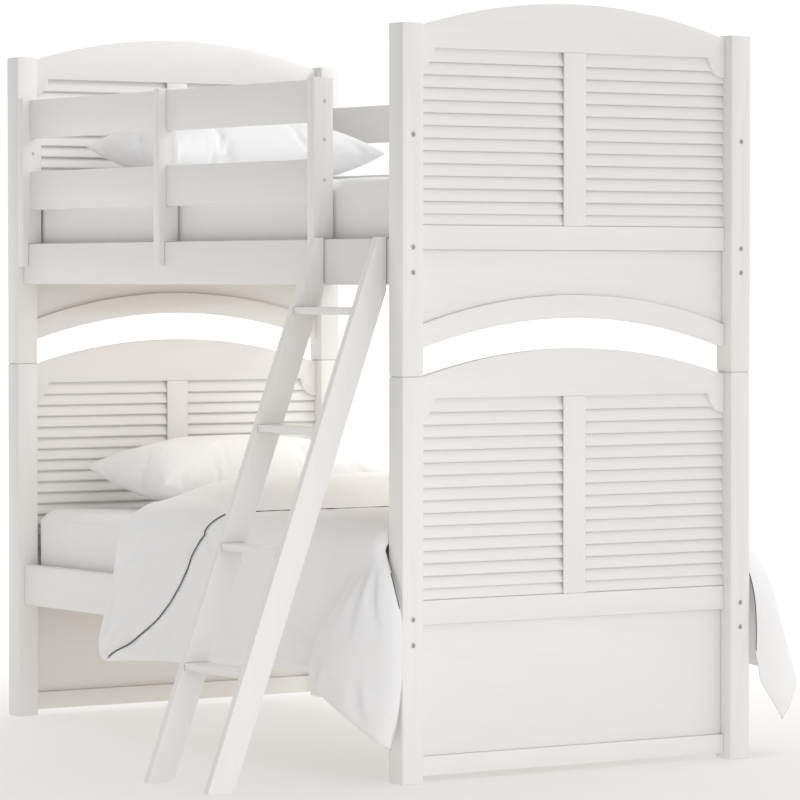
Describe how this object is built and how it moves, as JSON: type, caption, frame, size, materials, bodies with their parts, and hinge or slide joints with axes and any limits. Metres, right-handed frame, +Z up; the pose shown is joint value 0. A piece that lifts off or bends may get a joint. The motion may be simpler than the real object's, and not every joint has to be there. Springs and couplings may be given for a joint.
{
  "type": "bunk bed",
  "caption": "Twin-over-twin bunk bed with louvred arched ends, guard boards, a leaning ladder, mattresses, pillows and a duvet.",
  "frame": {"origin": "on the floor, in the middle of the space the whole set takes up, ladder and duvet included", "axes": "+X to the foot end, -Y to the ladder side, +Y to the back, +Z up"},
  "size_m": [2.05, 1.7994, 1.9563],
  "materials": {
    "white_lacquer": "satin white lacquer over faint grain",
    "pine": "bare planed pine",
    "zinc_steel": "zinc plated",
    "fitted_sheet": "smooth cotton sheet",
    "bed_linen": "soft washed cotton"
  },
  "bodies": {
    "lower_bunk": {"lower_duvet": "bed_linen", "lower_foot_arched_top_rail": "white_lacquer", "lower_foot_bottom_rail": "white_lacquer", "lower_foot_centre_stile": "white_lacquer", "lower_foot_flat_panel": "white_lacquer", "lower_foot_louvre_bank": "white_lacquer", "lower_foot_mid_rail": "white_lacquer", "lower_head_arched_top_rail": "white_lacquer", "lower_head_bottom_rail": "white_lacquer", "lower_head_centre_stile": "white_lacquer", "lower_head_flat_panel": "white_lacquer", "lower_head_louvre_bank": "white_lacquer", "lower_head_mid_rail": "white_lacquer", "lower_mattress": "fitted_sheet", "lower_pillow": "bed_linen", "lower_post_back_foot": "white_lacquer", "lower_post_back_head": "white_lacquer", "lower_post_front_foot": "white_lacquer", "lower_post_front_head": "white_lacquer", "lower_side_rail_back": "white_lacquer", "lower_side_rail_front": "white_lacquer", "lower_slat_base": "pine"},
    "upper_bunk": {"back_guard_board_high": "white_lacquer", "back_guard_board_low": "white_lacquer", "back_guard_stile_foot_end": "white_lacquer", "back_guard_stile_head_end": "white_lacquer", "front_guard_board_high": "white_lacquer", "front_guard_board_low": "white_lacquer", "front_guard_stile_foot_end": "white_lacquer", "front_guard_stile_head_end": "white_lacquer", "front_guard_stile_middle": "white_lacquer", "upper_foot_arched_bottom_rail": "white_lacquer", "upper_foot_arched_top_rail": "white_lacquer", "upper_foot_centre_stile": "white_lacquer", "upper_foot_flat_panel": "white_lacquer", "upper_foot_louvre_bank": "white_lacquer", "upper_foot_mid_rail": "white_lacquer", "upper_head_arched_bottom_rail": "white_lacquer", "upper_head_arched_top_rail": "white_lacquer", "upper_head_centre_stile": "white_lacquer", "upper_head_flat_panel": "white_lacquer", "upper_head_louvre_bank": "white_lacquer", "upper_head_mid_rail": "white_lacquer", "upper_mattress": "fitted_sheet", "upper_pillow": "bed_linen", "upper_post_back_foot": "white_lacquer", "upper_post_back_head": "white_lacquer", "upper_post_front_foot": "white_lacquer", "upper_post_front_head": "white_lacquer", "upper_side_rail_back": "white_lacquer", "upper_side_rail_front": "white_lacquer", "upper_slat_base": "pine"},
    "ladder": {"ladder_hook_foot_side": "zinc_steel", "ladder_hook_head_side": "zinc_steel", "ladder_stringer_foot_side": "white_lacquer", "ladder_stringer_head_side": "white_lacquer", "ladder_tread_1": "white_lacquer", "ladder_tread_2": "white_lacquer", "ladder_tread_3": "white_lacquer", "ladder_tread_4": "white_lacquer"}
  },
  "joints": [
    {"name": "upper_bunk_lift", "type": "slide", "parent": "lower_bunk", "child": "upper_bunk", "axis": [0, 0, 1], "range_m": [0, 0.06]},
    {"name": "ladder_lift", "type": "slide", "parent": "upper_bunk", "child": "ladder", "axis": [0, 0, 1], "range_m": [0, 0.06]}
  ]
}
